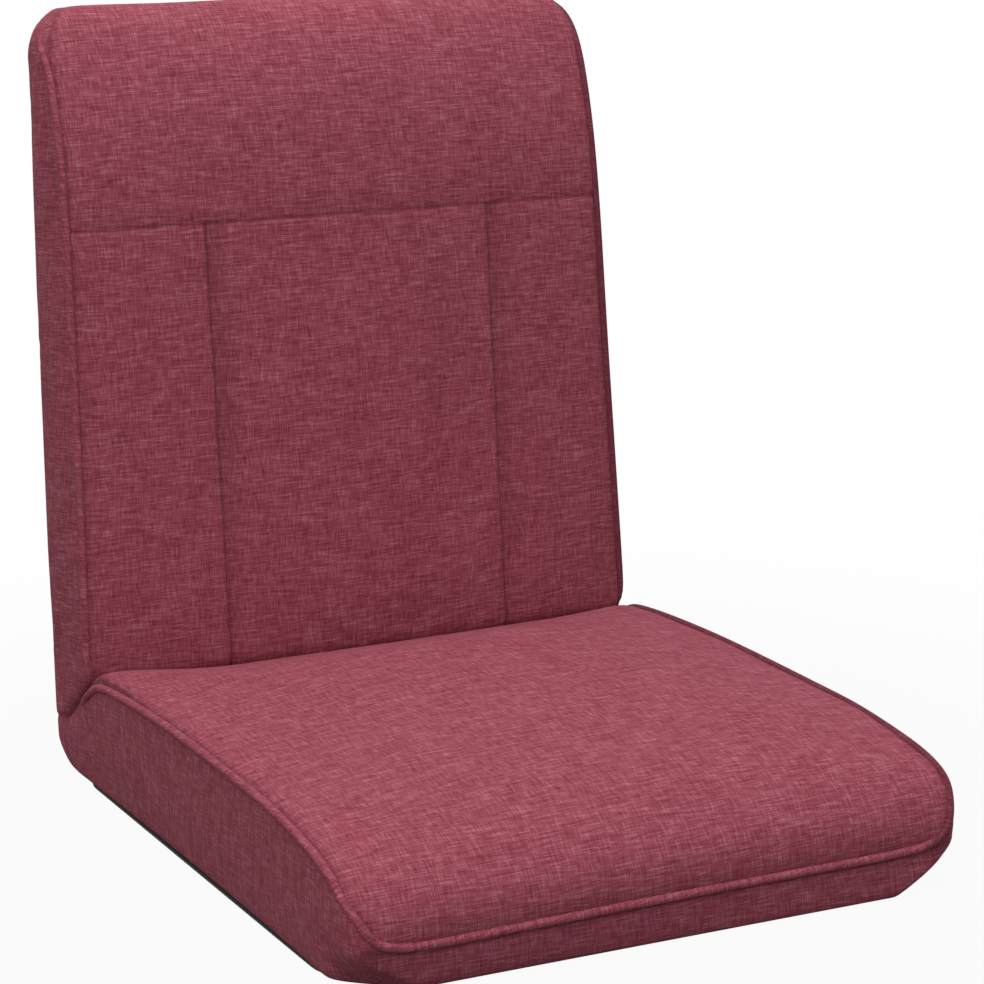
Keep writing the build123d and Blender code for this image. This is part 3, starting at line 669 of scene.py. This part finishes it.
# %% [markdown]
# ## Back seams
# Each channel is a sharp line of stitching with a soft dip on its right, as the photo shows; the head seam is
# shallower.  Painted shade darkens the lines, the dips, the welt edge and the front above the crease.  The net is
# divided finely along the stitching first, so that the line comes out thin.

# %% Back seams
BACK_SWELL_SIZE = 60 * MM
BACK_LINE = 4 * MM
# half width of the stitched lines and of the dips beside them; the head seam's share of a channel's depth
CHANNEL_LINE, CHANNEL_DIP = 1.5 * MM, 14 * MM
HEAD_LINE, HEAD_DIP = 1.3 * MM, 6 * MM
HEAD_LINE_SHARE, HEAD_DIP_SHARE = 0.55, 0.4
# depth of line and dip in millimetres, and the painted shade on them and on the front above the crease
LINE_DEPTH, DIP_DEPTH = 1.2, 1.8
LINE_PAINTED_SHADE, DIP_PAINTED_SHADE, CREASE_PAINTED_SHADE = 0.45, 0.24, 0.14
CREASE_PAINTED_SHADE_WIDTH = 60 * MM
FINE_ZONE, FINE_CUTS = 9 * MM, 2


def back_pull(co, normal):
    """How deep the back's seams draw a place in, and the painted shade on the seams, the welt edge and the front
    above the crease.
    """
    channel, head = channel_distance(co)
    edge = back_edge_distance(co)
    on_front = ease(-normal.y, 0.2, 0.6)
    sharp = max(bell(channel, CHANNEL_LINE), HEAD_LINE_SHARE * bell(head, HEAD_LINE))
    past_seam = co.x + CHANNEL if co.x < 0 else co.x - CHANNEL
    dip = bell(channel, CHANNEL_DIP) if past_seam > 0 and co.z < HEAD_SEAM else 0.0
    broad = max(dip, HEAD_DIP_SHARE * bell(head, HEAD_DIP))
    valley = on_front * (LINE_DEPTH * sharp + DIP_DEPTH * broad) * MM + EDGE_VALLEY * bell(edge, EDGE_WIDTH)
    swell = SWELL * noise.noise(co / BACK_SWELL_SIZE)
    # painted shade on the front, fading out above the crease
    deep = bell(co.z - crease_up, CREASE_PAINTED_SHADE_WIDTH)
    shade = max(on_front * max(LINE_PAINTED_SHADE * sharp, DIP_PAINTED_SHADE * dip), EDGE_PAINTED_SHADE * bell(edge, BACK_LINE))
    return valley - swell, max(shade, CREASE_PAINTED_SHADE * deep * on_front)


def near_channel(co):
    """Whether a place lies close to the stitching on the front."""
    return co.y < FRONT_ZONE and min(channel_distance(co)) < FINE_ZONE


refine(back_cushion, near_channel, FINE_CUTS)
sew(back_cushion, back_pull)
weave_map(back_cushion, back_outline, "y")
finish_cover(back_cushion, wine_cloth)
lean = Matrix.Translation(HINGE) @ Matrix.Rotation(-RECLINE, 4, "X")
back_cushion.data.transform(lean)

# %% [markdown]
# ## Piping
# A welt cord in its own strip of cloth is sewn into each edge.  It is a round tube along a smooth line that rides
# on the edge of the border.  Along the right edges the cord has rolled towards the panel, and painted shade darkens
# it there; both ends of each cord are tucked into the crease.

# %% Piping
SEAT_WELT, BACK_WELT = 2.9 * MM, 2.8 * MM
WELT_RISE = 1.0 * MM
WELT_BACK = 3.5 * MM
WELT_ROLL = 5.0 * MM
BACK_ROLL = -1.5 * WELT_ROLL
# painted shade on the cord along the right edge, and between which widths that sets in
WELT_PAINTED_SHADE, WELT_PAINTED_SHADE_SPAN = 0.55, (0.19, 0.205)
WELT_TUCK = 0.95
# the cord's strip of cloth runs askew: it shifts round the cord by this share of its length
STRIP_SKEW = 0.3
# places along the seams where the cord is laid on, in millimetres
SEAT_WELT_AT = 162, 120, 40, -40, -100, -134, -170, -200, -222, -240, -252
BACK_WELT_AT = 25, 33, 50, 150, 250, 340, 400, 430, 455, 475


def laid_on(cushion, points, rise):
    """The points moved to the cushion's surface and raised along its normal; both ends are tucked inside."""
    found = []
    for at in points:
        _, spot, normal, _ = cushion.closest_point_on_mesh(Vector(at))
        found.append(spot + normal * rise)
    for end in (found[0], found[-1]):
        end.x *= WELT_TUCK
    return found


def welt(name, points, thick):
    """A tube of piping along points; its strip of cloth runs round the cord, a little askew, with painted shade on
    the right.
    """
    curve = bpy.data.curves.new(name, "CURVE")
    curve.dimensions = "3D"
    curve.bevel_depth = thick
    curve.bevel_resolution = 4
    curve.use_fill_caps = True
    curve.resolution_u = 6
    spline = curve.splines.new("NURBS")
    spline.points.add(len(points) - 1)
    for point, at in zip(spline.points, points):
        point.co = (*at, 1)
    spline.order_u = 4
    spline.use_endpoint_u = True
    line = bpy.data.objects.new(name + "_line", curve)
    bpy.context.scene.collection.objects.link(line)
    seen = line.evaluated_get(bpy.context.evaluated_depsgraph_get())
    mesh = bpy.data.meshes.new_from_object(seen)
    bpy.data.objects.remove(line)
    mesh.name = name
    layer = mesh.uv_layers[0]
    layer.name = "weave"
    rings = {}
    for loop in mesh.loops:
        ring = rings.setdefault(round(layer.data[loop.index].uv.x, 4), [])
        ring.append(mesh.vertices[loop.vertex_index].co)
    run, last, reach = {}, None, 0.0
    for ring in sorted(rings):
        middle = sum(rings[ring], Vector()) / len(rings[ring])
        reach += (middle - last).length if last else 0.0
        run[ring], last = reach, middle
    for spot in layer.data:
        along, round_about = run[round(spot.uv.x, 4)], spot.uv.y * math.tau * thick
        spot.uv = (round_about + STRIP_SKEW * along, along)
    # painted shade on the cord along the right edge
    dark = mesh.attributes.new("seam", "FLOAT", "POINT")
    for vert in mesh.vertices:
        dark.data[vert.index].value = WELT_PAINTED_SHADE * ease(vert.co.x, *WELT_PAINTED_SHADE_SPAN)
    piece = bpy.data.objects.new(name, mesh)
    bpy.context.scene.collection.objects.link(piece)
    finish_cover(piece, wine_cloth)
    return piece


def both_sides(run, roll=(0, 0, 0)):
    """A run along the left side, and the same back along the right, where the cord is rolled over."""
    return [Vector((-x, y, z)) for x, y, z in run] + [Vector(at) + Vector(roll) for at in reversed(run)]


crease_run = [(HINGE.y - 4 * MM, HINGE.z + 2 * MM), (205 * MM, 66 * MM), (178 * MM, 84 * MM)]
top_run = [(y * MM, nose_top(y * MM)) for y in SEAT_WELT_AT]
side_run = [(seat_half_at(y) + WELT_RISE, y, z - WELT_BACK) for y, z in crease_run + top_run]
front_half = seat_half_at(SEAT_FRONT) + 4 * MM
corner_run = [
    (front_half + 4 * MM, SEAT_FRONT + 4 * MM, 51 * MM),
    (front_half - 1 * MM, SEAT_FRONT + 1 * MM, 40 * MM),
    (front_half - 14 * MM, SEAT_FRONT, WELT_HIGH + 2 * MM),
    (front_half - 44 * MM, SEAT_FRONT, WELT_HIGH),
    (90 * MM, SEAT_FRONT, WELT_HIGH + 1 * MM),
]
seat_sides = both_sides(side_run, (0, 0, WELT_ROLL))
seat_line = seat_sides[: len(side_run)] + both_sides(corner_run) + seat_sides[len(side_run) :]
seat_piping = welt("seat_piping_cord", laid_on(seat_cushion, seat_line, WELT_RISE), SEAT_WELT)

back_side = [
    (back_half_at(up * MM) + WELT_RISE, front_line(up * MM) + WELT_BACK, up * MM)
    for up in BACK_WELT_AT
]
back_top = [
    (back_half_at(493 * MM) + WELT_RISE, -16 * MM, 493 * MM),
    (back_half_at(509 * MM) + WELT_RISE, -4 * MM, 509 * MM),
    (160 * MM, 5 * MM, 516 * MM),
    (90 * MM, 5 * MM, 516.5 * MM),
]
back_line = [lean @ at for at in both_sides(back_side + back_top, (0, BACK_ROLL, 0))]
back_piping = welt("back_piping_cord", laid_on(back_cushion, back_line, WELT_RISE), BACK_WELT)
print("piping", len(seat_piping.data.polygons), len(back_piping.data.polygons), "faces")

# %% [markdown]
# ## Crease roll
# Where seat and back meet, a padded wedge lies along the hinge line and hides the hinge plates.  It only shows when
# the crease opens: in front with the back laid flat, behind with the back folded forward.  Its outside is round
# about the hinge, so it fits at every angle, and it ends above the pawls, which need their room in the seat.

# %% Crease roll
ROLL, ROLL_REAR = 25.4 * MM, 21.7 * MM
ROLL_HALF, ROLL_END = 220 * MM, 5 * MM
ROLL_FROM, ROLL_TO, ROLL_STEPS = math.radians(31), math.radians(200), 56
# it thins from front to rear between these turns; along it, cuts keep the net even
ROLL_THINS = math.radians(95), math.radians(140)
ROLL_CUTS = 87
# how much its ends are rounded off, and how uneven its padding is, over which size
ROLL_WORN, ROLL_SWELL, ROLL_SWELL_SIZE = 0.15, 0.01, 14 * MM

bm = bmesh.new()
turns = [ROLL_FROM + (ROLL_TO - ROLL_FROM) * step / ROLL_STEPS for step in range(ROLL_STEPS + 1)]
reaches = [ROLL + (ROLL_REAR - ROLL) * ease(turn, *ROLL_THINS) for turn in turns]
section = [
    bm.verts.new((-ROLL_HALF, -reach * math.cos(turn), reach * math.sin(turn)))
    for reach, turn in zip(reaches, turns)
]
wedge = bm.faces.new([bm.verts.new((-ROLL_HALF, 0, 0)), *section])
grown = bmesh.ops.extrude_face_region(bm, geom=[wedge])["geom"]
far_end = [v for v in grown if isinstance(v, bmesh.types.BMVert)]
bmesh.ops.translate(bm, vec=(2 * ROLL_HALF, 0, 0), verts=far_end)
runs = [e for e in bm.edges if abs(e.verts[0].co.x - e.verts[1].co.x) > ROLL_HALF]
bmesh.ops.subdivide_edges(bm, edges=runs, cuts=ROLL_CUTS, use_grid_fill=True)
sheet = bm.loops.layers.uv.new("weave")
for face in bm.faces:
    for loop in face.loops:
        place = loop.vert.co
        loop[sheet].uv = (place.x, math.atan2(place.z, -place.y) % math.tau * ROLL)
for vert in bm.verts:
    worn = 1 - ease(ROLL_HALF - abs(vert.co.x), 0, ROLL_END)
    size = 1 - ROLL_WORN * worn + ROLL_SWELL * noise.noise(vert.co / ROLL_SWELL_SIZE)
    vert.co = Vector((vert.co.x, vert.co.y * size, vert.co.z * size))
bmesh.ops.recalc_face_normals(bm, faces=bm.faces)
bmesh.ops.translate(bm, vec=HINGE, verts=bm.verts)
crease_roll = put_in_scene(bm, "crease_roll")
finish_cover(crease_roll, wine_cloth)
print("crease roll", len(crease_roll.data.polygons), "faces")

# %% [markdown]
# ## Base cloth
# Under the seat lies a black non-slip cloth with small rubber dots, stapled a little inside the border.

# %% Base cloth
DOT_PITCH, FIBRE = 6 * MM, 1.1 * MM
# share of the pitch at which a dot's side starts and ends
DOT_FOOT, DOT_TOP = 0.36, 0.30
BASE_CORNER = 42 * MM
# narrower than the seat by this much, and lapped past the CAD panel's depth by this much
BASE_INSET, BASE_OVERLAP = 9 * MM, 6 * MM


def dotted_base(name):
    """Needle felt with moulded rubber dots: dull black fibre, and dots that stand up and shine a little."""
    material, tree, output = new_material(name)
    place = add_node(tree, "ShaderNodeTexCoord").outputs["Object"]
    dots = add_node(
        tree,
        "ShaderNodeTexVoronoi",
        {"Vector": place, "Scale": 1 / DOT_PITCH, "Randomness": 0.0},
        voronoi_dimensions="3D",
    ).outputs["Distance"]
    dot = add_node(
        tree,
        "ShaderNodeMapRange",
        {"Value": dots, "From Min": DOT_FOOT, "From Max": DOT_TOP},
    ).outputs[0]
    fibre = add_node(
        tree,
        "ShaderNodeTexNoise",
        {"Vector": place, "Scale": 1 / FIBRE, "Detail": 3.0},
    ).outputs[0]
    colour = add_node(tree, "ShaderNodeValToRGB", {"Fac": fibre})
    colour.color_ramp.elements[0].color = linear("#0b0b0c")
    colour.color_ramp.elements[1].color = linear("#262628")
    relief = add_node(
        tree,
        "ShaderNodeBump",
        {"Strength": 0.5, "Distance": 0.6 * MM, "Height": dot},
    ).outputs[0]
    gloss = add_node(
        tree,
        "ShaderNodeMapRange",
        {"Value": dot, "To Min": 0.9, "To Max": 0.55},
    ).outputs[0]
    shader = add_node(
        tree,
        "ShaderNodeBsdfPrincipled",
        {"Base Color": colour.outputs["Color"], "Roughness": gloss, "Normal": relief},
    )
    tree.links.new(shader.outputs[0], output.inputs["Surface"])
    return material


base_low, base_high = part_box("seat_base_panel")
bm = bmesh.new()
bmesh.ops.create_cube(bm, size=1.0)
base_size = (2 * SEAT_HALF - BASE_INSET, base_high.y - base_low.y + BASE_OVERLAP, BASE_THICK)
bmesh.ops.scale(bm, vec=base_size, verts=bm.verts)
bmesh.ops.translate(bm, vec=(0, (base_low.y + base_high.y) / 2, BASE_THICK / 2), verts=bm.verts)
upright = [e for e in bm.edges if abs((e.verts[0].co - e.verts[1].co).z) > 1 * MM]
bmesh.ops.bevel(
    bm,
    geom=upright,
    offset=BASE_CORNER,
    offset_type="OFFSET",
    affect="EDGES",
    segments=10,
    profile=0.5,
    material=-1,
)
base_cloth = put_in_scene(bm, "seat_base_cloth")
base_cloth.data.materials.append(dotted_base("non_slip_base_black"))
print("base cloth", len(base_cloth.data.polygons), "faces")

# %% [markdown]
# ## Metal inside
# The tubes are powder-coated and the hinge plates zinc-plated.  They hardly ever show, yet each carries its real
# finish, so that a cut-away view of the part still reads as steel.

# %% Metal materials
GRIT = 0.8 * MM


def coated_steel(name, dark, light, metallic, rough):
    """Steel under powder coat (semi-matt, fine orange peel) or zinc (bright, slightly spangled)."""
    material, tree, output = new_material(name)
    place = add_node(tree, "ShaderNodeTexCoord").outputs["Object"]
    grit = add_node(
        tree,
        "ShaderNodeTexNoise",
        {"Vector": place, "Scale": 1 / GRIT, "Detail": 3.0},
    ).outputs[0]
    colour = add_node(tree, "ShaderNodeValToRGB", {"Fac": grit})
    colour.color_ramp.elements[0].color = linear(dark)
    colour.color_ramp.elements[1].color = linear(light)
    relief = add_node(
        tree,
        "ShaderNodeBump",
        {"Strength": 0.2, "Distance": 0.1 * MM, "Height": grit},
    ).outputs[0]
    shader = add_node(
        tree,
        "ShaderNodeBsdfPrincipled",
        {
            "Base Color": colour.outputs["Color"],
            "Metallic": metallic,
            "Roughness": rough,
            "Normal": relief,
        },
    )
    tree.links.new(shader.outputs[0], output.inputs["Surface"])
    return material


powder_coat = coated_steel("powder_coated_steel_black", "#121213", "#2a2a2c", 0.0, 0.5)
zinc_plate = coated_steel("zinc_plated_steel", "#9a9c9e", "#c3c5c6", 1.0, 0.35)
for name, node_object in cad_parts.items():
    finish = powder_coat if name.endswith("tube") else zinc_plate
    node_object.data.materials.clear()
    node_object.data.materials.append(finish)
print("metal on", len(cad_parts), "nodes")

# %% [markdown]
# ## Putting the pieces in place
# Each cover stands for the padding and panels it hides, and those are hidden.  The covers stay where they were
# built, and the base cloth goes on the seat's body.


def bend(piece):
    """Bakes the piece's place into its mesh."""
    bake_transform(piece)


for piece in (seat_cushion, seat_piping):
    bend(piece)
for piece in (back_cushion, back_piping):
    bend(piece)
bend(crease_roll)
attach(base_cloth, "seat")
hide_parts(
    "seat_top_foam",
    "seat_base_foam",
    "seat_top_panel",
    "seat_border",
    "seat_rear_panel",
)
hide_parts("seat_crease_roll", "back_crease_roll")
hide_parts("seat_piping")
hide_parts("seat_base_panel")
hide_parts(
    "back_front_foam",
    "back_rear_foam",
    "back_head_panel",
    "back_left_panel",
    "back_centre_panel",
    "back_right_panel",
    "back_border",
    "back_rear_panel",
)
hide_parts("back_piping")

# %% [markdown]
# ## Studio
# The photo is a cut-out on white under even, soft light.  Floor and world are white where they are looked at and
# grey where they only give light.  A large lamp overhead makes the seat the lightest face, and a weaker one from
# the front left keeps the side readable.

# %% Studio
WORLD_LIGHT = 0.45
FLOOR_GREY = "#707070"
# share of white in the floor by the chair, where the rest is shaded grey; past the second distance it is all white
FLOOR_WHITE, FLOOR_FADE = 0.95, (0.35, 0.9)
WHITE = (1, 1, 1, 1)

scene = bpy.context.scene
scene.view_settings.view_transform = "Standard"


def looked_at(tree):
    """1 for rays of the camera, straight or by way of a mirror or glass, and 0 for rays that gather light."""
    rays = add_node(tree, "ShaderNodeLightPath")
    seen = rays.outputs["Is Camera Ray"]
    for kind in ("Is Glossy Ray", "Is Transmission Ray"):
        seen = add_node(
            tree, "ShaderNodeMath", {0: seen, 1: rays.outputs[kind]}, operation="MAXIMUM"
        ).outputs[0]
    return seen


world = bpy.data.worlds.new("studio")
scene.world = world
world.use_nodes = True
tree = world.node_tree
tree.nodes.clear()
seen = looked_at(tree)
soft = add_node(tree, "ShaderNodeBackground", {"Color": WHITE, "Strength": WORLD_LIGHT}).outputs[0]
white = add_node(tree, "ShaderNodeBackground", {"Color": WHITE, "Strength": 1.0}).outputs[0]
mixed = add_node(tree, "ShaderNodeMixShader", {0: seen, 1: soft, 2: white}).outputs[0]
add_node(tree, "ShaderNodeOutputWorld", {"Surface": mixed})

floor_material, tree, output = new_material("studio_floor_white")
seen = looked_at(tree)
spot = add_node(tree, "ShaderNodeTexCoord").outputs["Object"]
reach = add_node(tree, "ShaderNodeVectorMath", {0: spot}, operation="LENGTH").outputs["Value"]
white_out = add_node(
    tree,
    "ShaderNodeMapRange",
    {
        "Value": reach,
        "From Min": FLOOR_FADE[0],
        "From Max": FLOOR_FADE[1],
        "To Min": FLOOR_WHITE,
        "To Max": 1.0,
    },
).outputs[0]
share = add_node(tree, "ShaderNodeMath", {0: seen, 1: white_out}, operation="MULTIPLY").outputs[0]
plain = add_node(tree, "ShaderNodeBsdfDiffuse", {"Color": linear(FLOOR_GREY)}).outputs[0]
glow = add_node(tree, "ShaderNodeEmission", {"Color": WHITE, "Strength": 1.0}).outputs[0]
mixed = add_node(tree, "ShaderNodeMixShader", {0: share, 1: plain, 2: glow}).outputs[0]
tree.links.new(mixed, output.inputs["Surface"])

bm = bmesh.new()
bmesh.ops.create_grid(bm, x_segments=1, y_segments=1, size=6.0)
floor = put_in_scene(bm, "studio_floor")
floor.data.materials.append(floor_material)


def lamp(name, place, target, size, power):
    """A round soft lamp turned to its target."""
    data = bpy.data.lights.new(name, "AREA")
    data.shape = "DISK"
    data.size = size
    data.energy = power
    light = bpy.data.objects.new(name, data)
    light.location = place
    light.rotation_euler = (Vector(target) - Vector(place)).to_track_quat("-Z", "Y").to_euler()
    scene.collection.objects.link(light)


lamp("overhead", (-0.1, 0.1, 3.2), (0, 0, 0.1), 1.9, 45)
lamp("front_left", (-1.6, -2.1, 2.1), (0, 0, 0.25), 1.6, 28)
